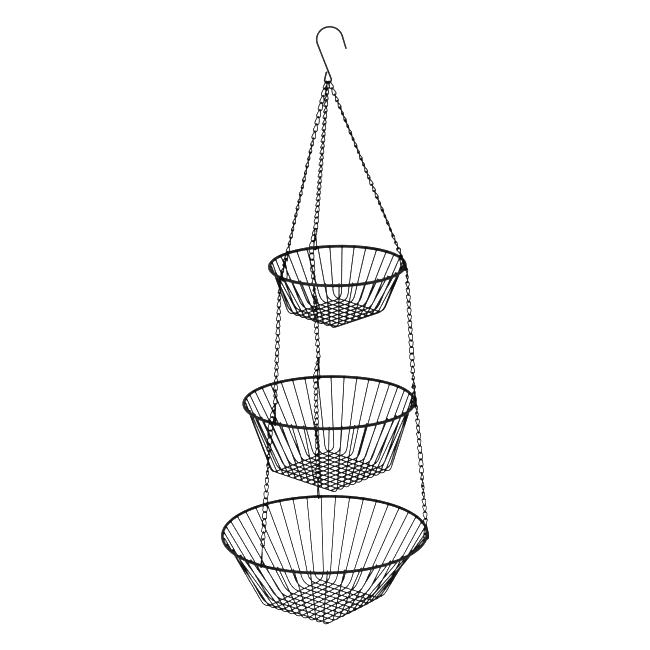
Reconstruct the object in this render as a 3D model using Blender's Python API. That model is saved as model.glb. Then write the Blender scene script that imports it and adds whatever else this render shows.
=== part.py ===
"""Three-tier hanging wire produce basket: a hook, three chains, nine clips and three round baskets.

Metres, +Z up, +X to the right and +Y away from the viewer.
The origin is the inside top of the hook's large bend, where the hook rests on whatever holds it.
Every moving group hangs from an empty that stands on its joint's axis.
"""
import math

import bmesh
import bpy
from mathutils import Matrix, Vector

MM = 0.001

# Hook: one bent wire in the X-Z plane
HOOK_WIRE = 2.8 * MM
HOOK_BEND_RADIUS = 18.7 * MM
HOOK_TIP_ANGLE = 16.1
HOOK_TIP_LENGTH = 19.0 * MM
HOOK_SHANK_LEAN = 20.6
EYE_RADIUS = 5.0 * MM
EYE_CENTRE = (-3.0 * MM, -76.4 * MM)
EYE_END_ANGLE = 165.0
EYE_END_LENGTH = 10.5 * MM

# Chain: real links where the chain bends, flat bars for the straight stretches between them
LINK_WIRE = 1.5 * MM
LINK_WIDTH = 7.0 * MM
LINK_LENGTH = 13.4 * MM
BAR_WIDTH = 4.4 * MM
BAR_THICK = 1.6 * MM
SEAT_ANGLES = (-46.0, -2.0, 42.0)

# Clip: one bent wire closed round the rim
CLIP_WIRE = 1.8 * MM
CLIP_EYE_HEIGHT = 28.0 * MM
CLIP_EYE_RADIUS = 2.9 * MM
CLIP_LEG_HEIGHT = 6.0 * MM
CLIP_INNER_TOP = (-1.6 * MM, 19.5 * MM)
CLIP_NECK = (1.35 * MM, 20.5 * MM)

# Basket wires
RIM_WIRE = 4.8 * MM
WIRE_SIDE = 1.7 * MM
GRID_PITCH = 12.7 * MM
RIB_BEND = 6.2 * MM
RIB_RISE_PAST_RIM = 0.8 * MM

# Clearances
GAP = 0.4 * MM
BAR_END_GAP = 0.8 * MM
LOOSE_END_GAP = 2.6 * MM
TAIL_OFFSETS = (-5.0 * MM, 4.7 * MM, -4.1 * MM)
TAIL_TOP = (2.0 * MM, -3.0 * MM)

SIDES = ("left", "back", "right")

TIERS = (
    {
        "name": "top",
        "centre": (9.4 * MM, -0.6 * MM, -355.2 * MM),
        "ring_radius": 99.2 * MM,
        "depth": 72.7 * MM,
        "ribs": 8,
        "grid_turn": 43.0,
        "rib_reach": 8.3 * MM,
        "tilt_side": -0.7,
        "tilt_fore": 0.1,
        "floor_shift": (-2.9 * MM, 2.7 * MM),
        "floor_tilt": (1.4, -0.4),
        "cage_shift": (-4.6 * MM, 3.8 * MM),
        "cage_twist": 0.2,
        "clip_azimuths": (219.5, 109.0, 349.0),
        "clip_leans": (-3.0 * MM, -3.0 * MM, -8.0 * MM),
        "clip_turns": (-22.0, 16.0, 28.0),
    },
    {
        "name": "middle",
        "centre": (-3.5 * MM, -0.6 * MM, -565.6 * MM),
        "ring_radius": 126.1 * MM,
        "depth": 108.0 * MM,
        "ribs": 10,
        "grid_turn": 46.1,
        "rib_reach": 9.2 * MM,
        "tilt_side": -0.5,
        "tilt_fore": -1.1,
        "floor_shift": (1.4 * MM, 3.3 * MM),
        "floor_tilt": (2.2, 0.0),
        "cage_shift": (1.2 * MM, -4.5 * MM),
        "cage_twist": 2.6,
        "clip_azimuths": (231.5, 96.9, 351.0),
        "clip_leans": (-0.5 * MM, 1.0 * MM, 0.0),
        "clip_turns": (-22.0, 18.0, 28.0),
    },
    {
        "name": "bottom",
        "centre": (-11.1 * MM, -0.6 * MM, -773.1 * MM),
        "ring_radius": 152.8 * MM,
        "depth": 108.6 * MM,
        "ribs": 10,
        "grid_turn": 49.1,
        "rib_reach": 9.8 * MM,
        "tilt_side": -0.5,
        "tilt_fore": 1.1,
        "floor_shift": (-3.7 * MM, -2.4 * MM),
        "floor_tilt": (0.6, -1.5),
        "cage_shift": (-0.6 * MM, 9.6 * MM),
        "cage_twist": 2.1,
        "clip_azimuths": (232.5, 93.5, 352.0),
        "clip_leans": (-4.0 * MM, 2.0 * MM, -1.2 * MM),
        "clip_turns": (28.0, 16.0, 28.0),
    },
)

PAINT = {
    "hook": ((0.030, 0.030, 0.032), 0.38),
    "link": ((0.025, 0.025, 0.027), 0.45),
    "bar": ((0.028, 0.028, 0.030), 0.48),
    "clip": ((0.045, 0.045, 0.048), 0.35),
    "rim": ((0.022, 0.022, 0.024), 0.32),
    "wires": ((0.020, 0.020, 0.022), 0.40),
}

PIVOTS = {}


def clear_scene():
    for item in list(bpy.data.objects):
        bpy.data.objects.remove(item, do_unlink=True)


def add_pivot(body, at, parent=None):
    """An empty on the joint's axis. All of a body's pieces are its children."""
    empty = bpy.data.objects.new("pivot_" + body, None)
    empty.empty_display_size = 0.01
    at = Vector(at)
    if parent is None:
        empty.location = at
    else:
        holder, held_at = PIVOTS[parent]
        empty.parent = holder
        empty.location = at - held_at
    bpy.context.scene.collection.objects.link(empty)
    PIVOTS[body] = (empty, at)


def place(item, body, matrix, family):
    """Put a piece at its world matrix, as a child of its body's pivot, in its own paint."""
    empty, at = PIVOTS[body]
    bpy.context.scene.collection.objects.link(item)
    item.parent = empty
    item.matrix_basis = Matrix.Translation(-at) @ matrix
    colour, rough = PAINT[family]
    material = bpy.data.materials.new(item.name + "_paint")
    material.use_nodes = True
    shader = material.node_tree.nodes["Principled BSDF"]
    shader.inputs["Base Color"].default_value = (*colour, 1.0)
    shader.inputs["Roughness"].default_value = rough
    shader.inputs["Metallic"].default_value = 0.0
    item.data.materials.append(material)


def bent_wire(node, points, diameter, closed=False, fineness=1):
    """A round wire along a line of points, as a bevelled curve with filled ends."""
    curve = bpy.data.curves.new(node, "CURVE")
    curve.dimensions = "3D"
    curve.bevel_depth = diameter / 2.0
    curve.bevel_resolution = fineness
    curve.use_fill_caps = True
    spline = curve.splines.new("POLY")
    spline.points.add(len(points) - 1)
    for target, source in zip(spline.points, points):
        target.co = (*source, 1.0)
    spline.use_cyclic_u = closed
    spline.use_smooth = True
    return bpy.data.objects.new(node, curve)


def mesh_object(node, work, sharp=40.0):
    mesh = bpy.data.meshes.new(node)
    bmesh.ops.recalc_face_normals(work, faces=work.faces[:])
    work.to_mesh(mesh)
    work.free()
    mesh.shade_smooth()
    mesh.set_sharp_from_angle(angle=math.radians(sharp))
    return bpy.data.objects.new(node, mesh)


def arc(centre, radius, start, end, steps):
    """Points on an arc as (across, height) pairs; angles in degrees from +across."""
    out = []
    for i in range(steps + 1):
        turn = math.radians(start + (end - start) * i / steps)
        out.append((centre[0] + radius * math.cos(turn), centre[1] + radius * math.sin(turn)))
    return out


def upright(pairs):
    """Lift (across, height) pairs into the local X-Z plane."""
    return [Vector((x, 0.0, z)) for x, z in pairs]


def hanging_matrix(at, down, across):
    """Frame with its origin at a point, -Z along down and X as near across as it can be."""
    down = Vector(down).normalized()
    flat = Vector(across) - down * down.dot(Vector(across))
    flat.normalize()
    depth = (-down).cross(flat)
    turn = Matrix((flat, depth, -down)).transposed().to_4x4()
    return Matrix.Translation(at) @ turn


def tier_frame(tier):
    """Frame at a rim's centre, tilted as the basket hangs but not turned about its own axis."""
    turn = Matrix.Rotation(math.radians(tier["tilt_fore"]), 4, "X")
    turn = turn @ Matrix.Rotation(math.radians(tier["tilt_side"]), 4, "Y")
    return Matrix.Translation(Vector(tier["centre"])) @ turn


def grid_frame(tier):
    """Frame at the floor grid's centre, seen from the rim: its wires run along X and Y."""
    fore, side = tier["floor_tilt"]
    turn = Matrix.Rotation(math.radians(fore), 4, "X") @ Matrix.Rotation(math.radians(side), 4, "Y")
    turn = turn @ Matrix.Rotation(math.radians(tier["grid_turn"]), 4, "Z")
    return Matrix.Translation((*tier["floor_shift"], -tier["depth"])) @ turn


def clip_frame(tier, k):
    """Frame on the rim at a clip: X outward, Y along the rim, Z up."""
    turn = Matrix.Rotation(math.radians(tier["clip_azimuths"][k]), 4, "Z")
    return tier_frame(tier) @ turn @ Matrix.Translation((tier["ring_radius"], 0.0, 0.0))


def along_rim(tier, k):
    return (clip_frame(tier, k).to_3x3() @ Vector((0.0, 1.0, 0.0))).normalized()


def clip_eye(tier, k):
    return clip_frame(tier, k) @ Vector((tier["clip_leans"][k], 0.0, CLIP_EYE_HEIGHT))


def tail_foot(tier, k):
    """Where a chain lies on the outside of the rim and turns down to the next tier."""
    out = RIM_WIRE / 2.0 + BAR_THICK / 2.0 + 2.0 * GAP
    return clip_frame(tier, k) @ Vector((out, TAIL_OFFSETS[k], 0.0))


def hanging_point():
    """Where the first links bear on the bottom of the hook's eye."""
    return Vector((EYE_CENTRE[0], 0.0, EYE_CENTRE[1] - EYE_RADIUS + HOOK_WIRE / 2.0))


def link_inner():
    """Inside length of a link, which is also the chain's pitch."""
    return LINK_LENGTH - 2.0 * LINK_WIRE


def build_hook():
    bend = (0.0, HOOK_WIRE / 2.0 - HOOK_BEND_RADIUS)
    large = arc(bend, HOOK_BEND_RADIUS, HOOK_TIP_ANGLE, 180.0 + HOOK_SHANK_LEAN, 22)
    tip_turn = math.radians(HOOK_TIP_ANGLE)
    tip = (
        large[0][0] + HOOK_TIP_LENGTH * math.sin(tip_turn),
        large[0][1] - HOOK_TIP_LENGTH * math.cos(tip_turn),
    )
    small = arc(EYE_CENTRE, EYE_RADIUS, HOOK_SHANK_LEAN, -EYE_END_ANGLE, 14)
    end_turn = math.radians(EYE_END_ANGLE)
    end = (
        small[-1][0] + EYE_END_LENGTH * math.sin(end_turn),
        small[-1][1] - EYE_END_LENGTH * math.cos(end_turn),
    )
    item = bent_wire("hook", upright([tip] + large + small + [end]), HOOK_WIRE, fineness=2)
    place(item, "hook", Matrix(), "hook")


def add_link(node, body, top, down, across):
    """One chain link. top is the inside of its upper bend and down is the way it hangs."""
    half = (LINK_WIDTH - LINK_WIRE) / 2.0
    high = LINK_WIRE / 2.0 - half
    low = high - (LINK_LENGTH - LINK_WIDTH)
    outline = arc((0.0, high), half, 0.0, 180.0, 4) + arc((0.0, low), half, 180.0, 360.0, 4)
    item = bent_wire(node, upright(outline), LINK_WIRE, closed=True)
    place(item, body, hanging_matrix(top, down, across), "link")


def add_bar(node, body, start, end, across):
    """A straight stretch of chain as a six-sided flat bar."""
    work = bmesh.new()
    length = (end - start).length
    bmesh.ops.create_cone(
        work, cap_ends=True, segments=6, radius1=BAR_WIDTH / 2.0, radius2=BAR_WIDTH / 2.0, depth=length
    )
    bmesh.ops.rotate(work, verts=work.verts[:], matrix=Matrix.Rotation(math.radians(30.0), 3, "Z"))
    width = max(v.co.x for v in work.verts) * 2.0
    thick = max(v.co.y for v in work.verts) * 2.0
    bmesh.ops.scale(work, verts=work.verts[:], vec=(BAR_WIDTH / width, BAR_THICK / thick, 1.0))
    bmesh.ops.translate(work, verts=work.verts[:], vec=(0.0, 0.0, -length / 2.0))
    place(mesh_object(node, work), body, hanging_matrix(start, end - start, across), "bar")


def build_chain(k):
    """One of the three chains, from the hook's eye past two rims to the bottom clip."""
    side = SIDES[k]
    inner = link_inner()
    seat = math.radians(SEAT_ANGLES[k])
    reach = EYE_RADIUS - HOOK_WIRE / 2.0 - LINK_WIRE / 2.0 - GAP
    down = (clip_eye(TIERS[0], k) - hanging_point()).normalized()
    lean = down.y * (HOOK_WIRE + LINK_WIRE + GAP) / 2.0
    seat_at = Vector((EYE_CENTRE[0] + reach * math.sin(seat), -lean, EYE_CENTRE[1] - reach * math.cos(seat)))
    top = seat_at + down * LINK_WIRE / 2.0
    across = hanging_matrix(top, down, (0.0, 1.0, 0.0)).to_3x3().col[0]
    add_link("first_link_" + side, "first_links", top, down, across)
    top += down * (inner - GAP)
    add_link("second_link_" + side, "second_links", top, down, down.cross(across))
    start = top + down * (LINK_LENGTH - LINK_WIRE + BAR_END_GAP)
    body = "top_tier"
    for t, tier in enumerate(TIERS):
        own = tier["name"] + "_tier"
        eye = clip_eye(tier, k)
        down = (eye - start).normalized()
        rimward = along_rim(tier, k)
        held = eye - down * (CLIP_EYE_RADIUS - CLIP_WIRE / 2.0 - GAP + inner)
        leads = t > 0 and k == 0
        if leads:
            add_pivot("held_%s_left" % tier["name"], held, body)
            add_pivot(own, eye, "held_%s_left" % tier["name"])
        name = "held_link_%s_%s" % (tier["name"], side)
        add_link(name, "held_%s_left" % tier["name"] if leads else own, held, down, rimward)
        clearance = BAR_END_GAP if (t == 0 or leads) else LOOSE_END_GAP
        end = held - down * (LINK_WIRE + clearance)
        add_bar("chain_%s_%s" % (tier["name"], side), body, start, end, rimward)
        if t + 1 == len(TIERS):
            break
        frame = clip_frame(tier, k)
        high = (tier["clip_leans"][k] + TAIL_TOP[0], TAIL_OFFSETS[k], CLIP_EYE_HEIGHT + TAIL_TOP[1])
        tail = frame @ Vector(high)
        foot = tail_foot(tier, k)
        add_bar("chain_tail_%s_%s" % (tier["name"], side), own, tail, foot, rimward)
        following = TIERS[t + 1]["name"]
        down = (clip_eye(TIERS[t + 1], k) - foot).normalized()
        turn = "turn_%s_%s" % (following, side)
        top = foot + down * (BAR_END_GAP + LINK_WIRE)
        add_pivot(turn, top, own)
        add_link("turn_link_%s_%s" % (following, side), turn, top, down, rimward)
        body = "run_%s_%s" % (following, side)
        add_pivot(body, top + down * inner, turn)
        start = top + down * (inner + LINK_WIRE + BAR_END_GAP)


def build_clip(tier, k):
    """A wire clip: its loop closes round the rim and its small eye holds a chain link.

    The loop crosses the rim at a slant, as much and to the side that each clip lies.
    """
    clear = RIM_WIRE / 2.0 + CLIP_WIRE / 2.0 + GAP
    slant = math.radians(tier["clip_turns"][k])
    hug = clear / math.cos(slant)
    outline = [CLIP_INNER_TOP, (-hug, CLIP_LEG_HEIGHT)]
    outline += [(x, z * clear / hug) for x, z in arc((0.0, 0.0), hug, 180.0, 360.0, 8)]
    outline += [(hug, CLIP_LEG_HEIGHT), CLIP_NECK]
    outline += arc((0.0, CLIP_EYE_HEIGHT), CLIP_EYE_RADIUS, -50.0, 215.0, 9)
    lean = tier["clip_leans"][k] / CLIP_EYE_HEIGHT
    turn = Matrix.Rotation(slant, 3, "Z")
    points = [turn @ point + Vector((lean * max(0.0, point.z), 0.0, 0.0)) for point in upright(outline)]
    item = bent_wire("clip_%s_%s" % (tier["name"], SIDES[k]), points, CLIP_WIRE)
    place(item, tier["name"] + "_tier", clip_frame(tier, k), "clip")


def build_rim(tier):
    outline = arc((0.0, 0.0), tier["ring_radius"], 0.0, 360.0, 44)[:-1]
    points = [Vector((x, y, 0.0)) for x, y in outline]
    item = bent_wire("rim_" + tier["name"], points, RIM_WIRE, closed=True, fineness=2)
    place(item, tier["name"] + "_tier", tier_frame(tier), "rim")


def rim_azimuth(tier, even):
    """Azimuth of a rib at the rim: evenly spread, then turned and shifted with the whole cage."""
    x, y = tier["cage_shift"]
    slide = (y * math.cos(even) - x * math.sin(even)) / tier["ring_radius"]
    return even + slide + math.radians(tier["cage_twist"])


def rib_path(tier, start, outward, azimuth):
    """Centre line of one rib from the edge of the floor grid, round its bend and up past the rim."""
    hug = (RIM_WIRE + WIRE_SIDE * math.sqrt(2.0)) / 2.0 + GAP
    corner = start + outward * (tier["rib_reach"] - WIRE_SIDE / 2.0)
    below = grid_frame(tier) @ corner
    slope = math.atan2(tier["ring_radius"] - math.hypot(below.x, below.y), -below.z)
    reach = tier["ring_radius"] - hug * math.cos(slope)
    touch = Vector((reach * math.cos(azimuth), reach * math.sin(azimuth), hug * math.sin(slope)))
    touch = grid_frame(tier).inverted() @ touch
    rise = (touch - corner).normalized()
    bend_in = corner - outward * RIB_BEND
    bend_out = corner + rise * RIB_BEND
    middle = (bend_in + bend_out + corner * 2.0) / 4.0
    return [start, bend_in, middle, bend_out, touch + rise * RIB_RISE_PAST_RIM]


def floor_grid(work, lines):
    """Two crossed sets of square wires as one sheet with square holes, pulled up to its thickness."""
    half = WIRE_SIDE / 2.0
    edges = sorted([line - half for line in lines] + [line + half for line in lines])
    corners = [[work.verts.new((x, y, -half)) for y in edges] for x in edges]
    sheet = []
    for i in range(len(edges) - 1):
        for j in range(len(edges) - 1):
            if i % 2 == 0 or j % 2 == 0:
                ring = (corners[i][j], corners[i + 1][j], corners[i + 1][j + 1], corners[i][j + 1])
                sheet.append(work.faces.new(ring))
    pulled = bmesh.ops.extrude_face_region(work, geom=sheet)
    raised = [item for item in pulled["geom"] if isinstance(item, bmesh.types.BMVert)]
    bmesh.ops.translate(work, verts=raised, vec=(0.0, 0.0, WIRE_SIDE))


def pull_rib(work, face, path, sideways):
    """Extrude one end face of the grid along a rib's centre line."""
    half = WIRE_SIDE / 2.0
    across = sideways
    up = Vector((0.0, 0.0, 1.0))
    centre = path[0]
    for step in range(1, len(path)):
        signs = []
        for vert in face.verts:
            away = vert.co - centre
            signs.append((math.copysign(half, away.dot(across)), math.copysign(half, away.dot(up))))
        centre = path[step]
        along = path[min(step + 1, len(path) - 1)] - path[step - 1]
        along.normalize()
        across = (sideways - along * along.dot(sideways)).normalized()
        up = along.cross(across)
        face = bmesh.ops.extrude_discrete_faces(work, faces=[face])["faces"][0]
        for vert, (b, c) in zip(face.verts, signs):
            vert.co = centre + across * b + up * c


def build_wires(tier):
    """The wire basket: two crossed sets of U-shaped wires, welded where they cross."""
    count = tier["ribs"]
    last = (count - 1) / 2.0
    lines = [(i - last) * GRID_PITCH for i in range(count)]
    work = bmesh.new()
    floor_grid(work, lines)
    edge = lines[-1] + WIRE_SIDE / 2.0
    ends = [(face.calc_center_median(), face) for face in work.faces]
    ends = [end for end in ends if max(abs(end[0].x), abs(end[0].y)) > edge - GAP / 4.0]
    for quarter in range(4):
        turn = quarter * math.pi / 2.0
        quarter_turn = Matrix.Rotation(turn, 3, "Z")
        outward = quarter_turn @ Vector((1.0, 0.0, 0.0))
        sideways = quarter_turn @ Vector((0.0, 1.0, 0.0))
        for m in range(count):
            start = outward * edge + sideways * lines[m]
            even = turn + math.radians(tier["grid_turn"]) + (m - last) * math.pi / (2.0 * count)
            path = rib_path(tier, start, outward, rim_azimuth(tier, even))
            nearest = min(ends, key=lambda end: (end[0] - start).length)
            ends.remove(nearest)
            pull_rib(work, nearest[1], path, sideways)
    item = mesh_object("wires_" + tier["name"], work)
    place(item, tier["name"] + "_tier", tier_frame(tier) @ grid_frame(tier), "wires")


def main():
    clear_scene()
    add_pivot("hook", (0.0, 0.0, 0.0))
    add_pivot("first_links", hanging_point(), "hook")
    second = hanging_point() - Vector((0.0, 0.0, link_inner()))
    add_pivot("second_links", second, "first_links")
    add_pivot("top_tier", second, "second_links")
    build_hook()
    for k in range(len(SIDES)):
        build_chain(k)
    for tier in TIERS:
        for k in range(len(SIDES)):
            build_clip(tier, k)
        build_rim(tier)
        build_wires(tier)


main()
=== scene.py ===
"""Looks of the three-tier hanging wire produce basket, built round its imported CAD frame.

Metres and degrees, +Z up. The origin is the inside top of the hook's large bend.
"""
import math

import bmesh
import bpy
from mathutils import Matrix, Vector


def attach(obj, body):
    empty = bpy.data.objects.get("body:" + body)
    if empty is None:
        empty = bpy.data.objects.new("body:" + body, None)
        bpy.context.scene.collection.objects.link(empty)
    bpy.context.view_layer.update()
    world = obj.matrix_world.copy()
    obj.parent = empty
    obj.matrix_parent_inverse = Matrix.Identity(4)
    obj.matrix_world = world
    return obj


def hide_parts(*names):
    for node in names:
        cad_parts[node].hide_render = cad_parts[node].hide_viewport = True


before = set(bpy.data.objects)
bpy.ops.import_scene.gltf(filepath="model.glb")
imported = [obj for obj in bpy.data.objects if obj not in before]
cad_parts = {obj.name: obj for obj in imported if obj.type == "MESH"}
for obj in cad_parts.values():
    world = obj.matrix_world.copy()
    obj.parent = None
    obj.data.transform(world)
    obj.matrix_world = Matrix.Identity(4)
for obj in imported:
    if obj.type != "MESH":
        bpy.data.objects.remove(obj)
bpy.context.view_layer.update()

MM = 0.001

# Hook: a large bend, a leaning shank and an eye that the three chains share. The eye's centre is
# given as across and height
HOOK_WIRE = 2.8 * MM
HOOK_BEND_RADIUS = 18.7 * MM
HOOK_BEND_STEPS = 72
HOOK_TIP_ANGLE = 16.1
HOOK_TIP_LENGTH = 19.0 * MM
HOOK_SHANK_LEAN = 20.6
HOOK_SIDES = 20
EYE_RADIUS = 5.0 * MM
EYE_CENTRE = (-3.0 * MM, -76.4 * MM)
EYE_STEPS = 48
EYE_END_ANGLE = 167.0
EYE_END_LENGTH = 12.3 * MM

# Links: closed loops, each twisted from its upper bend to its lower one
LINK_WIRE = 1.85 * MM
LINK_WIDTH = 8.1 * MM
LINK_TWIST = 80.0
LINK_WOBBLE = 5.0
LINK_BEND_STEPS = 9
LINK_SIDE_SHARES = (0.25, 0.5, 0.75)
LINK_SIDES = 10
PITCH = 10.3 * MM

# First links, side by side in the hook's eye; angles from its lowest point
SEAT_ANGLES = (-46.0, -2.0, 42.0)
SEAT_GAP = 0.05 * MM
SEAT_SLACK = 0.4 * MM
FIRST_LINK_TURN = 90.0 + LINK_TWIST / 2.0

# Tails: the few links from a clip's eye down to the rim beside it; the chain to the next tier
# starts at their foot
TAIL_OFFSETS = (-5.0 * MM, 4.7 * MM, -4.1 * MM)
TAIL_LINKS = 3
FOOT_OUT = 4.2 * MM

# Clips: wire bent under the rim, closed above it by an eye. Points are (outward, height)
CLIP_WIRE = 1.9 * MM
CLIP_BEND_STEPS = 24
CLIP_LEG_HEIGHT = 6.0 * MM
CLIP_INNER_TOP = (-1.3 * MM, 19.5 * MM)
CLIP_NECK = (1.25 * MM, 20.5 * MM)
CLIP_EYE_HEIGHT = 28.0 * MM
CLIP_EYE_RADIUS = 2.9 * MM
CLIP_EYE_START = -50.0
CLIP_EYE_END = 215.0
CLIP_EYE_STEPS = 30
CLIP_SIDES = 12

# Baskets: a rim, and two layers of U-shaped wires that cross in the floor grid
RIM_WIRE = 4.9 * MM
RIM_STEPS = 180
RIM_SIDES = 20
RIB_WIRE = 2.1 * MM
RIB_BEND_STEPS = 8
RIB_BEND_SHARE = 0.49
RIB_RISE_PAST_RIM = 0.8 * MM
RIB_SIDES = 10
GRID_PITCH = 12.7 * MM
WELD_SINK = 0.12 * MM
BEAD_RADIUS = 1.25 * MM
BEAD_HALF_LENGTH = 2.1 * MM
BEAD_TURNS = (-70.0, -35.0, 0.0, 35.0, 70.0)
BEAD_SIDES = 8

# Rounded wire ends, from the wire outward; edges sharper than this aren't smoothed
CAP_TURNS = (25.0, 50.0, 78.0)
SHARP_ANGLE = 60.0

SIDES = ("left", "back", "right")

# "under" is the layer of wires that lies below in the floor grid: 0 along its X, 1 along its Y.
# Clips are listed in the order of SIDES. The middle left one slants the other way in the CAD
TIERS = (
    {
        "name": "top",
        "under": 0,
        "centre": (9.4 * MM, -0.6 * MM, -355.2 * MM),
        "ring_radius": 99.2 * MM,
        "depth": 72.7 * MM,
        "ribs": 8,
        "grid_turn": 43.0,
        "rib_reach": 8.3 * MM,
        "rib_bend": 11.0 * MM,
        "tilt_side": -0.7,
        "tilt_fore": 0.1,
        "floor_shift": (-2.9 * MM, 2.7 * MM),
        "floor_tilt": (1.4, -0.4),
        "cage_shift": (-4.6 * MM, 3.8 * MM),
        "cage_twist": 0.2,
        "clip_azimuths": (219.5, 109.0, 349.0),
        "clip_leans": (-3.0 * MM, -3.0 * MM, -8.0 * MM),
        "clip_turns": (-22.0, 16.0, 28.0),
    },
    {
        "name": "middle",
        "under": 1,
        "centre": (-3.5 * MM, -0.6 * MM, -565.6 * MM),
        "ring_radius": 126.1 * MM,
        "depth": 108.0 * MM,
        "ribs": 10,
        "grid_turn": 46.1,
        "rib_reach": 9.2 * MM,
        "rib_bend": 8.5 * MM,
        "tilt_side": -0.5,
        "tilt_fore": -1.1,
        "floor_shift": (1.4 * MM, 3.3 * MM),
        "floor_tilt": (2.2, 0.0),
        "cage_shift": (1.2 * MM, -4.5 * MM),
        "cage_twist": 2.6,
        "clip_azimuths": (231.5, 96.9, 351.0),
        "clip_leans": (-0.5 * MM, 1.0 * MM, 0.0),
        "clip_turns": (28.0, 18.0, 28.0),
    },
    {
        "name": "bottom",
        "under": 0,
        "centre": (-11.1 * MM, -0.6 * MM, -773.1 * MM),
        "ring_radius": 152.8 * MM,
        "depth": 108.6 * MM,
        "ribs": 10,
        "grid_turn": 49.1,
        "rib_reach": 9.8 * MM,
        "rib_bend": 14.0 * MM,
        "tilt_side": -0.5,
        "tilt_fore": 1.1,
        "floor_shift": (-3.7 * MM, -2.4 * MM),
        "floor_tilt": (0.6, -1.5),
        "cage_shift": (-0.6 * MM, 9.6 * MM),
        "cage_twist": 2.1,
        "clip_azimuths": (232.5, 93.5, 352.0),
        "clip_leans": (-4.0 * MM, 2.0 * MM, -1.2 * MM),
        "clip_turns": (28.0, 16.0, 28.0),
    },
)

# Turn of the links along each stretch: (share of the stretch, degrees from flat to the front)
TWISTS = {
    ("top", "left"): (
        (0.0, -36.0),
        (0.27, -40.0),
        (0.31, -58.0),
        (0.38, -76.0),
        (0.9, -73.0),
        (1.0, -62.0),
    ),
    ("top", "back"): (
        (0.0, -70.0),
        (0.1, -52.0),
        (0.5, -48.0),
        (0.75, -46.0),
        (0.9, -33.0),
        (1.0, -12.0),
    ),
    ("top", "right"): (
        (0.0, -50.0),
        (0.07, -58.0),
        (0.13, -78.0),
        (0.2, -88.0),
        (0.5, -82.0),
        (0.62, -66.0),
        (0.74, -88.0),
        (0.86, -92.0),
        (1.0, -114.0),
    ),
    ("middle", "left"): ((0.0, -90.0), (0.1, -75.0), (0.17, -56.0), (0.3, -46.0), (1.0, -55.0)),
    ("middle", "back"): (
        (0.0, 0.0),
        (0.15, 5.0),
        (0.25, -35.0),
        (0.38, -80.0),
        (0.5, -60.0),
        (0.62, -25.0),
        (0.75, -35.0),
        (1.0, -55.0),
    ),
    ("middle", "right"): (
        (0.0, 92.0),
        (0.08, 75.0),
        (0.2, 48.0),
        (0.58, 38.0),
        (0.64, 22.0),
        (0.7, 0.0),
        (0.78, -20.0),
        (0.85, -45.0),
        (0.92, -68.0),
        (1.0, -92.0),
    ),
    ("bottom", "left"): (
        (0.0, 180.0),
        (0.12, 175.0),
        (0.18, 145.0),
        (0.31, 90.0),
        (0.45, 60.0),
        (0.63, 12.0),
        (0.8, -28.0),
        (1.0, -50.0),
    ),
    ("bottom", "back"): ((0.0, -25.0), (0.2, -45.0), (1.0, -20.0)),
    ("bottom", "right"): (
        (0.0, 92.0),
        (0.12, 58.0),
        (0.18, 48.0),
        (0.36, 42.0),
        (0.465, -5.0),
        (0.585, -45.0),
        (0.71, -95.0),
        (0.85, -130.0),
        (1.0, -140.0),
    ),
}

# Black coatings: colour, roughness, weight of the glossy coat, strength of the rubbed spots
COATINGS = {
    "chain": ((0.015, 0.015, 0.0155), 0.42, 0.02, 0.30),
    # The hook's colour is painted lighter than the other black parts: painted sheen for the light
    # on its wire, over the same black coating
    "hook": ((0.050, 0.050, 0.051), 0.36, 0.08, 0.25),
    "clip": ((0.018, 0.018, 0.0185), 0.36, 0.03, 0.30),
    # The rim's colour is painted lighter than the basket's wires: painted sheen for the light
    # along its top, over the same black coating
    "rim": ((0.046, 0.046, 0.047), 0.36, 0.08, 0.25),
    "wire": ((0.018, 0.018, 0.0185), 0.40, 0.02, 0.25),
}

# Noise is (scale, detail, roughness), with the scale in waves per metre
SPECULAR = 0.16
COAT_ROUGHNESS = 0.22
BROAD_NOISE = (38.0, 4.0, 0.6)
SHADE_STOPS = (0.35, 0.72)
SHADE_FACTORS = (0.7, 1.45)
GLOSS_STOPS = (0.3, 0.75)
GLOSS_SPREAD = (-0.07, 0.10)
WEAR_NOISE = (210.0, 6.0, 0.7)
WEAR_STOPS = (0.66, 0.76)
WEAR_COLOUR = (0.085, 0.081, 0.077, 1.0)
PEEL_NOISE = (900.0, 3.0, 0.5)
PEEL_STRENGTH = 0.22
PEEL_DEPTH = 0.4 * MM

# The mix node's sockets that carry colour
MIX_FIRST = 6
MIX_SECOND = 7
MIX_RESULT = 2

# Camera, fitted to the photo: far off with a long lens, looking down
CAMERA_AT = (-8.96 * MM, -5239.9 * MM, 1225.0 * MM)
CAMERA_DOWN = 17.69
CAMERA_ROLL = 0.305
CAMERA_LENS = 207.7
CAMERA_SENSOR = 36.0
CAMERA_NEAR = 0.05
CAMERA_FAR = 60.0

WHITE = (1.0, 1.0, 1.0, 1.0)
FLOOR_REACH = 30.0
FLOOR_HEIGHT = -1.75
FLOOR_COLOUR = (0.93, 0.93, 0.93, 1.0)
FLOOR_ROUGHNESS = 0.9
FLOOR_SPECULAR = 0.1
FLOOR_GLOW = 0.6
WORLD_GLOW = 0.8
TONE_GAMMA = 0.5

# Square lights: name, place, side and watts
LIGHT_AIM = (0.0, 0.0, -0.5)
LIGHTS = (
    ("key", (-1.6, -2.2, 1.9), 1.4, 70.0),
    ("fill", (2.0, -1.6, 1.2), 1.6, 35.0),
    ("top", (0.0, 0.3, 2.4), 1.6, 45.0),
)


# ---------------------------------------------------------------- camera

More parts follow.
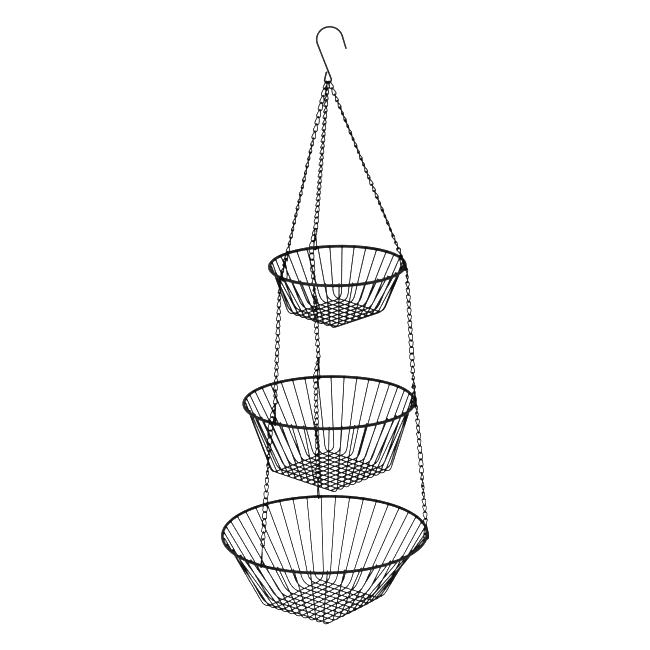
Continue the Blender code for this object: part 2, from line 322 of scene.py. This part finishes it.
def make_camera():
    data = bpy.data.cameras.new("camera")
    data.lens = CAMERA_LENS
    data.sensor_width = CAMERA_SENSOR
    data.clip_start = CAMERA_NEAR
    data.clip_end = CAMERA_FAR
    camera = bpy.data.objects.new("camera", data)
    tilt = Matrix.Rotation(math.radians(90.0 - CAMERA_DOWN), 4, "X")
    roll = Matrix.Rotation(math.radians(-CAMERA_ROLL), 4, "Z")
    camera.matrix_world = Matrix.Translation(CAMERA_AT) @ tilt @ roll
    bpy.context.scene.collection.objects.link(camera)
    bpy.context.scene.camera = camera


# ---------------------------------------------------------------- materials

def add_noise(tree, place, scale, detail, roughness):
    node = tree.nodes.new("ShaderNodeTexNoise")
    node.inputs["Scale"].default_value = scale
    node.inputs["Detail"].default_value = detail
    node.inputs["Roughness"].default_value = roughness
    tree.links.new(place, node.inputs["Vector"])
    return node.outputs["Fac"]


def add_range(tree, value, stops, low, high):
    """Spread a value between two stops over low to high."""
    node = tree.nodes.new("ShaderNodeMapRange")
    node.inputs["From Min"].default_value = stops[0]
    node.inputs["From Max"].default_value = stops[1]
    node.inputs["To Min"].default_value = low
    node.inputs["To Max"].default_value = high
    tree.links.new(value, node.inputs["Value"])
    return node.outputs["Result"]


def coated_black(name, colour, rough, coat, wear):
    """Black dip coating over steel wire: fine unevenness, dust-grey variation and rubbed spots."""
    material = bpy.data.materials.new(name)
    material.use_nodes = True
    tree = material.node_tree
    shader = tree.nodes["Principled BSDF"]
    shader.inputs["Metallic"].default_value = 0.0
    shader.inputs["Specular IOR Level"].default_value = SPECULAR
    shader.inputs["Coat Weight"].default_value = coat
    shader.inputs["Coat Roughness"].default_value = COAT_ROUGHNESS
    place = tree.nodes.new("ShaderNodeTexCoord").outputs["Object"]
    broad = add_noise(tree, place, *BROAD_NOISE)
    shade = tree.nodes.new("ShaderNodeValToRGB")
    for stop, at, factor in zip(shade.color_ramp.elements, SHADE_STOPS, SHADE_FACTORS):
        stop.position = at
        stop.color = (*[c * factor for c in colour], 1.0)
    tree.links.new(broad, shade.inputs["Fac"])
    spots = add_range(tree, add_noise(tree, place, *WEAR_NOISE), WEAR_STOPS, 0.0, wear)
    mix = tree.nodes.new("ShaderNodeMix")
    mix.data_type = "RGBA"
    tree.links.new(spots, mix.inputs["Factor"])
    tree.links.new(shade.outputs["Color"], mix.inputs[MIX_FIRST])
    mix.inputs[MIX_SECOND].default_value = WEAR_COLOUR
    tree.links.new(mix.outputs[MIX_RESULT], shader.inputs["Base Color"])
    gloss = add_range(tree, broad, GLOSS_STOPS, rough + GLOSS_SPREAD[0], rough + GLOSS_SPREAD[1])
    tree.links.new(gloss, shader.inputs["Roughness"])
    bump = tree.nodes.new("ShaderNodeBump")
    bump.inputs["Strength"].default_value = PEEL_STRENGTH
    bump.inputs["Distance"].default_value = PEEL_DEPTH
    tree.links.new(add_noise(tree, place, *PEEL_NOISE), bump.inputs["Height"])
    tree.links.new(bump.outputs["Normal"], shader.inputs["Normal"])
    return material


# ---------------------------------------------------------------- wire geometry

def tangents(path, closed):
    count = len(path)
    out = []
    for i in range(count):
        if closed:
            step = path[(i + 1) % count] - path[i - 1]
        else:
            step = path[min(i + 1, count - 1)] - path[max(i - 1, 0)]
        out.append(step.normalized())
    return out


class WireMesh:
    """Collects round wires and weld beads, each of them a closed skin."""

    def __init__(self):
        self.verts = []
        self.faces = []

    def ring(self, points):
        """Add a ring of points and return their numbers."""
        start = len(self.verts)
        self.verts.extend(points)
        return range(start, len(self.verts))

    def skin(self, rings, closed=False):
        """Faces between neighbouring rings, and over both ends unless the rings close up."""
        pairs = list(zip(rings, rings[1:]))
        if closed:
            pairs.append((rings[-1], rings[0]))
        for near, far in pairs:
            for s in range(len(near)):
                t = (s + 1) % len(near)
                self.faces.append((near[s], near[t], far[t], far[s]))
        if not closed:
            self.faces.append(tuple(reversed(rings[0])))
            self.faces.append(tuple(rings[-1]))

    def tube(self, path, radius, sides, closed=False):
        """A wire along a path: a closed loop, or open with rounded ends."""
        along = tangents(path, closed)
        first = along[0]
        across = first.orthogonal().normalized()
        frames = []
        for direction in along:
            across = (across - direction * direction.dot(across)).normalized()
            frames.append((across, direction.cross(across)))
        # A loop's frames come back turned a little, which is spread over its length
        spin = 0.0
        if closed:
            back = (frames[-1][0] - first * first.dot(frames[-1][0])).normalized()
            spin = math.atan2(back.dot(frames[0][1]), back.dot(frames[0][0]))
        stations = [(point, i, radius) for i, point in enumerate(path)]
        if not closed:
            last = len(path) - 1
            for turn in CAP_TURNS:
                c = math.radians(turn)
                size = radius * math.cos(c)
                stations.insert(0, (path[0] - along[0] * radius * math.sin(c), 0, size))
                stations.append((path[-1] + along[-1] * radius * math.sin(c), last, size))
        rings = []
        for centre, i, size in stations:
            u, v = frames[i]
            twist = -spin * i / len(path)
            points = []
            for s in range(sides):
                a = 2.0 * math.pi * s / sides + twist
                points.append(centre + u * (size * math.cos(a)) + v * (size * math.sin(a)))
            rings.append(self.ring(points))
        self.skin(rings, closed)

    def bead(self, centre, axis):
        """A small weld bead: a closed, slightly long drop of metal."""
        axis = axis.normalized()
        u = axis.orthogonal().normalized()
        v = axis.cross(u)
        rings = []
        for turn in BEAD_TURNS:
            c = math.radians(turn)
            size = BEAD_RADIUS * math.cos(c)
            rise = BEAD_HALF_LENGTH * math.sin(c)
            points = []
            for s in range(BEAD_SIDES):
                a = 2.0 * math.pi * s / BEAD_SIDES
                points.append(centre + (u * math.cos(a) + v * math.sin(a)) * size + axis * rise)
            rings.append(self.ring(points))
        self.skin(rings)

    def piece(self, name, material, body, nodes):
        """Make the collected wires one visible piece, which rides its body and replaces nodes."""
        mesh = bpy.data.meshes.new(name)
        mesh.from_pydata(self.verts, [], self.faces)
        work = bmesh.new()
        work.from_mesh(mesh)
        bmesh.ops.recalc_face_normals(work, faces=work.faces[:])
        work.to_mesh(mesh)
        work.free()
        mesh.shade_smooth()
        mesh.set_sharp_from_angle(angle=math.radians(SHARP_ANGLE))
        mesh.materials.append(material)
        item = bpy.data.objects.new(name, mesh)
        bpy.context.scene.collection.objects.link(item)
        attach(item, body)
        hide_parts(*nodes)


def arc(centre, radius, start, end, steps):
    """Points on an arc as (across, height) pairs; angles in degrees from +across."""
    out = []
    for i in range(steps + 1):
        turn = math.radians(start + (end - start) * i / steps)
        out.append((centre[0] + radius * math.cos(turn), centre[1] + radius * math.sin(turn)))
    return out


def straight_end(start, angle, length):
    """Far end of a straight piece of wire; angle in degrees from straight down, to +across."""
    turn = math.radians(angle)
    return (start[0] + length * math.sin(turn), start[1] - length * math.cos(turn))


def upright(pairs):
    return [Vector((x, 0.0, z)) for x, z in pairs]


def rounded(points, size):
    """Replace the inner corners of a line of points by smooth bends."""
    out = [points[0]]
    for before, corner, after in zip(points, points[1:], points[2:]):
        into = before - corner
        away = after - corner
        reach = min(size, into.length * RIB_BEND_SHARE, away.length * RIB_BEND_SHARE)
        start = corner + into.normalized() * reach
        end = corner + away.normalized() * reach
        for i in range(RIB_BEND_STEPS + 1):
            t = i / RIB_BEND_STEPS
            out.append(start * (1 - t) ** 2 + corner * (2 * t * (1 - t)) + end * t * t)
    out.append(points[-1])
    return out


# ---------------------------------------------------------------- places, as in the CAD

def tier_frame(tier):
    """Frame at the rim's centre, tilted as the tier hangs."""
    turn = Matrix.Rotation(math.radians(tier["tilt_fore"]), 4, "X")
    turn = turn @ Matrix.Rotation(math.radians(tier["tilt_side"]), 4, "Y")
    return Matrix.Translation(Vector(tier["centre"])) @ turn


def grid_frame(tier):
    """Frame at the floor grid's centre, seen from the rim: its wires run along X and Y."""
    fore, side = tier["floor_tilt"]
    turn = Matrix.Rotation(math.radians(fore), 4, "X")
    turn = turn @ Matrix.Rotation(math.radians(side), 4, "Y")
    turn = turn @ Matrix.Rotation(math.radians(tier["grid_turn"]), 4, "Z")
    return Matrix.Translation((*tier["floor_shift"], -tier["depth"])) @ turn


def clip_frame(tier, k):
    """Frame on the rim at a clip: X outward, Y along the rim, Z up."""
    turn = Matrix.Rotation(math.radians(tier["clip_azimuths"][k]), 4, "Z")
    return tier_frame(tier) @ turn @ Matrix.Translation((tier["ring_radius"], 0.0, 0.0))


def clip_eye(tier, k):
    return clip_frame(tier, k) @ Vector((tier["clip_leans"][k], 0.0, CLIP_EYE_HEIGHT))


def tail_foot(tier, k):
    return clip_frame(tier, k) @ Vector((FOOT_OUT, TAIL_OFFSETS[k], 0.0))


def hanging_point():
    """The inside bottom of the hook's eye."""
    return Vector((EYE_CENTRE[0], 0.0, EYE_CENTRE[1] - EYE_RADIUS + HOOK_WIRE / 2.0))


def chain_start(k):
    """The inside top of a chain's first link, whose wire lies on the hook's eye."""
    seat = math.radians(SEAT_ANGLES[k])
    reach = EYE_RADIUS - HOOK_WIRE / 2.0 - LINK_WIRE / 2.0 - SEAT_GAP
    down = (clip_eye(TIERS[0], k) - hanging_point()).normalized()
    lean = down.y * (HOOK_WIRE + LINK_WIRE + SEAT_SLACK) / 2.0
    x = EYE_CENTRE[0] + reach * math.sin(seat)
    z = EYE_CENTRE[1] - reach * math.cos(seat)
    return Vector((x, -lean, z)) + down * LINK_WIRE / 2.0


# ---------------------------------------------------------------- pieces

def build_hook(material):
    bend = (0.0, HOOK_WIRE / 2.0 - HOOK_BEND_RADIUS)
    bend_end = 180.0 + HOOK_SHANK_LEAN
    large = arc(bend, HOOK_BEND_RADIUS, HOOK_TIP_ANGLE, bend_end, HOOK_BEND_STEPS)
    small = arc(EYE_CENTRE, EYE_RADIUS, HOOK_SHANK_LEAN, -EYE_END_ANGLE, EYE_STEPS)
    tip = straight_end(large[0], HOOK_TIP_ANGLE, HOOK_TIP_LENGTH)
    end = straight_end(small[-1], EYE_END_ANGLE, EYE_END_LENGTH)
    wire = WireMesh()
    wire.tube(upright([tip] + large + small + [end]), HOOK_WIRE / 2.0, HOOK_SIDES)
    wire.piece("hook_wire", material, "hook", ["hook"])


def turn_at(table, share):
    """Turn of a link at a share of its stretch, between the table's rows."""
    for (a, turn_a), (b, turn_b) in zip(table, table[1:]):
        if share <= b:
            return turn_a + (turn_b - turn_a) * (share - a) / (b - a)
    return table[-1][1]


def add_link(wire, top, down, inner, mean_turn):
    """One twisted link; top is the inside of its upper bend, inner its inside length."""
    half = (LINK_WIDTH - LINK_WIRE) / 2.0
    low = inner + LINK_WIRE - 2.0 * half
    outline = arc((0.0, 0.0), half, 0.0, 180.0, LINK_BEND_STEPS)
    outline += [(-half, -low * f) for f in LINK_SIDE_SHARES]
    outline += arc((0.0, -low), half, 180.0, 360.0, LINK_BEND_STEPS)
    outline += [(half, -low * f) for f in reversed(LINK_SIDE_SHARES)]
    view_across = Vector((1.0, 0.0, 0.0))
    down = down.normalized()
    across = (view_across - down * down.dot(view_across)).normalized()
    depth = down.cross(across)
    whole = low + 2.0 * half
    path = []
    for a, h in outline:
        share = (half - h) / whole
        turn = math.radians(mean_turn + LINK_TWIST * (share - 0.5))
        side = across * math.cos(turn) + depth * math.sin(turn)
        path.append(top - down * (LINK_WIRE / 2.0) + side * a + down * (half - h))
    wire.tube(path, LINK_WIRE / 2.0, LINK_SIDES, closed=True)


def spread_links(start, end, count, table):
    """Tops, direction, inside length and turn of links hung one in another from start to end.

    Every other link lies a little further round, as slack links do.
    """
    pitch = (end - start).length / count
    down = (end - start).normalized()
    out = []
    for i in range(count):
        wobble = LINK_WOBBLE if i % 2 else -LINK_WOBBLE
        turn = turn_at(table, (i + 0.5) / count) + wobble
        out.append((start + down * (pitch * i), down, pitch, turn))
    return out


def build_chain(k, material):
    """One of the three chains, from the hook's eye past the upper clips to the bottom one."""
    side = SIDES[k]
    start = chain_start(k)
    groups = {}

    def add(node, body, link):
        groups.setdefault((node, body), []).append(link)

    for t, tier in enumerate(TIERS):
        place = "%s_%s" % (tier["name"], side)
        own = tier["name"] + "_tier"
        eye = clip_eye(tier, k)
        down = (eye - start).normalized()
        held_low = eye - down * (CLIP_EYE_RADIUS - CLIP_WIRE / 2.0)
        count = round((held_low - start).length / PITCH)
        links = spread_links(start, held_low, count, TWISTS[tier["name"], side])
        held_body = "held_" + place if t > 0 and side == "left" else own
        add("held_link_" + place, held_body, links.pop())
        if t == 0:
            top, down, inner, _ = links.pop(0)
            add("first_link_" + side, "first_links", (top, down, inner, FIRST_LINK_TURN))
            add("second_link_" + side, "second_links", links.pop(0))
            run_body = own
        else:
            add("turn_link_" + place, "turn_" + place, links.pop(0))
            run_body = "run_" + place
        for link in links:
            add("chain_" + place, run_body, link)
        if t + 1 == len(TIERS):
            break
        foot = tail_foot(tier, k)
        last_turn = TWISTS[tier["name"], side][-1][1]
        next_turn = TWISTS[TIERS[t + 1]["name"], side][0][1]
        next_turn += 180.0 * round((last_turn - next_turn) / 180.0)
        table = ((0.0, last_turn), (1.0, next_turn))
        for link in spread_links(held_low, foot, TAIL_LINKS, table):
            add("chain_tail_" + place, own, link)
        start = foot
    for (node, body), links in groups.items():
        wire = WireMesh()
        for link in links:
            add_link(wire, *link)
        wire.piece(node + "_links", material, body, [node])


def build_clip(tier, k, material):
    """A clip, slanted about the vertical; it is wider by that, so that it still clears the rim."""
    clear = RIM_WIRE / 2.0 + CLIP_WIRE / 2.0
    slant = math.radians(tier["clip_turns"][k])
    hug = clear / math.cos(slant)
    under = arc((0.0, 0.0), hug, 180.0, 360.0, CLIP_BEND_STEPS)
    outline = [CLIP_INNER_TOP, (-hug, CLIP_LEG_HEIGHT)]
    outline += [(x, z * clear / hug) for x, z in under]
    outline += [(hug, CLIP_LEG_HEIGHT), CLIP_NECK]
    eye = (0.0, CLIP_EYE_HEIGHT)
    outline += arc(eye, CLIP_EYE_RADIUS, CLIP_EYE_START, CLIP_EYE_END, CLIP_EYE_STEPS)
    lean = tier["clip_leans"][k] / CLIP_EYE_HEIGHT
    turn = Matrix.Rotation(slant, 3, "Z")
    frame_at = clip_frame(tier, k)
    points = []
    for point in upright(outline):
        points.append(frame_at @ (turn @ point + Vector((lean * max(0.0, point.z), 0.0, 0.0))))
    wire = WireMesh()
    wire.tube(points, CLIP_WIRE / 2.0, CLIP_SIDES)
    node = "clip_%s_%s" % (tier["name"], SIDES[k])
    wire.piece(node + "_wire", material, tier["name"] + "_tier", [node])


def build_rim(tier, material):
    frame_at = tier_frame(tier)
    radius = tier["ring_radius"]
    path = []
    for i in range(RIM_STEPS):
        turn = 2.0 * math.pi * i / RIM_STEPS
        path.append(frame_at @ Vector((radius * math.cos(turn), radius * math.sin(turn), 0.0)))
    wire = WireMesh()
    wire.tube(path, RIM_WIRE / 2.0, RIM_SIDES, closed=True)
    node = "rim_" + tier["name"]
    wire.piece(node + "_wire", material, tier["name"] + "_tier", [node])


def rim_azimuth(tier, even):
    """Azimuth of a rib at the rim: evenly spread, then turned and shifted with the whole cage."""
    x, y = tier["cage_shift"]
    slide = (y * math.cos(even) - x * math.sin(even)) / tier["ring_radius"]
    return even + slide + math.radians(tier["cage_twist"])


def rib_points(tier, start, outward, azimuth):
    """Half a U-shaped wire: floor corner, weld on the rim, top, and the way it rises."""
    hug = (RIM_WIRE + RIB_WIRE) / 2.0 - WELD_SINK
    corner = grid_frame(tier) @ (start + outward * tier["rib_reach"])
    slope = math.atan2(tier["ring_radius"] - math.hypot(corner.x, corner.y), -corner.z)
    radial = Vector((math.cos(azimuth), math.sin(azimuth), 0.0))
    out = Vector((-radial.x * math.cos(slope), -radial.y * math.cos(slope), math.sin(slope)))
    touch = radial * tier["ring_radius"] + out * hug
    weld = radial * tier["ring_radius"] + out * (hug / 2.0)
    rise = (touch - corner).normalized()
    return corner, weld, touch + rise * RIB_RISE_PAST_RIM, rise


def build_wires(tier, material):
    """A basket's two layers of U-shaped wires, each wire with a weld bead at both of its ends."""
    count = tier["ribs"]
    last = (count - 1) / 2.0
    frame_at = tier_frame(tier)
    edge = last * GRID_PITCH
    lift = RIB_WIRE / 2.0 - WELD_SINK / 2.0
    for layer in range(2):
        label, height = ("lower", -lift) if layer == tier["under"] else ("upper", lift)
        quarter = Matrix.Rotation(math.pi / 2.0 * layer, 3, "Z")
        outward = quarter @ Vector((1.0, 0.0, 0.0))
        sideways = quarter @ Vector((0.0, 1.0, 0.0))
        wire = WireMesh()
        for m in range(count):
            line = (m - last) * GRID_PITCH
            ends = []
            for sign in (1.0, -1.0):
                way = outward * sign
                start = way * edge + sideways * line + Vector((0.0, 0.0, height))
                even = math.atan2(way.y, way.x) + sign * (m - last) * math.pi / (2.0 * count)
                even += math.radians(tier["grid_turn"])
                corner, weld, top, rise = rib_points(tier, start, way, rim_azimuth(tier, even))
                wire.bead(frame_at @ weld, frame_at.to_3x3() @ rise)
                ends.append((top, corner))
            (top, corner), (far_top, far_corner) = ends
            bent = rounded([top, corner, far_corner, far_top], tier["rib_bend"])
            wire.tube([frame_at @ p for p in bent], RIB_WIRE / 2.0, RIB_SIDES)
        name = "wires_%s_%s" % (tier["name"], label)
        node = "wires_" + tier["name"]
        wire.piece(name, material, tier["name"] + "_tier", [node])


# ---------------------------------------------------------------- stage and light

def build_stage():
    """A pale floor, so bright that it leaves the picture plain white."""
    mesh = bpy.data.meshes.new("floor")
    corners = [(-1, -1), (1, -1), (1, 1), (-1, 1)]
    points = [(x * FLOOR_REACH, y * FLOOR_REACH, FLOOR_HEIGHT) for x, y in corners]
    mesh.from_pydata(points, [], [(0, 1, 2, 3)])
    material = bpy.data.materials.new("floor_paper")
    material.use_nodes = True
    shader = material.node_tree.nodes["Principled BSDF"]
    shader.inputs["Base Color"].default_value = FLOOR_COLOUR
    shader.inputs["Roughness"].default_value = FLOOR_ROUGHNESS
    shader.inputs["Specular IOR Level"].default_value = FLOOR_SPECULAR
    shader.inputs["Emission Color"].default_value = WHITE
    shader.inputs["Emission Strength"].default_value = FLOOR_GLOW
    mesh.materials.append(material)
    floor = bpy.data.objects.new("floor", mesh)
    bpy.context.scene.collection.objects.link(floor)


def add_light(name, at, size, power):
    data = bpy.data.lights.new(name, "AREA")
    data.shape = "SQUARE"
    data.size = size
    data.energy = power
    light = bpy.data.objects.new(name, data)
    light.location = at
    aim = Vector(LIGHT_AIM) - Vector(at)
    light.rotation_euler = aim.to_track_quat("-Z", "Y").to_euler()
    bpy.context.scene.collection.objects.link(light)


def build_light():
    view = bpy.context.scene.view_settings
    view.view_transform = "Standard"
    view.gamma = TONE_GAMMA
    world = bpy.data.worlds.new("studio")
    bpy.context.scene.world = world
    world.use_nodes = True
    background = world.node_tree.nodes["Background"]
    background.inputs["Color"].default_value = WHITE
    background.inputs["Strength"].default_value = WORLD_GLOW
    for light in LIGHTS:
        add_light(*light)


def main():
    make_camera()
    paint = {}
    for name, values in COATINGS.items():
        paint[name] = coated_black(name + "_coating", *values)
    build_hook(paint["hook"])
    for k in range(len(SIDES)):
        build_chain(k, paint["chain"])
    for tier in TIERS:
        for k in range(len(SIDES)):
            build_clip(tier, k, paint["clip"])
        build_rim(tier, paint["rim"])
        build_wires(tier, paint["wire"])
    build_stage()
    build_light()


main()
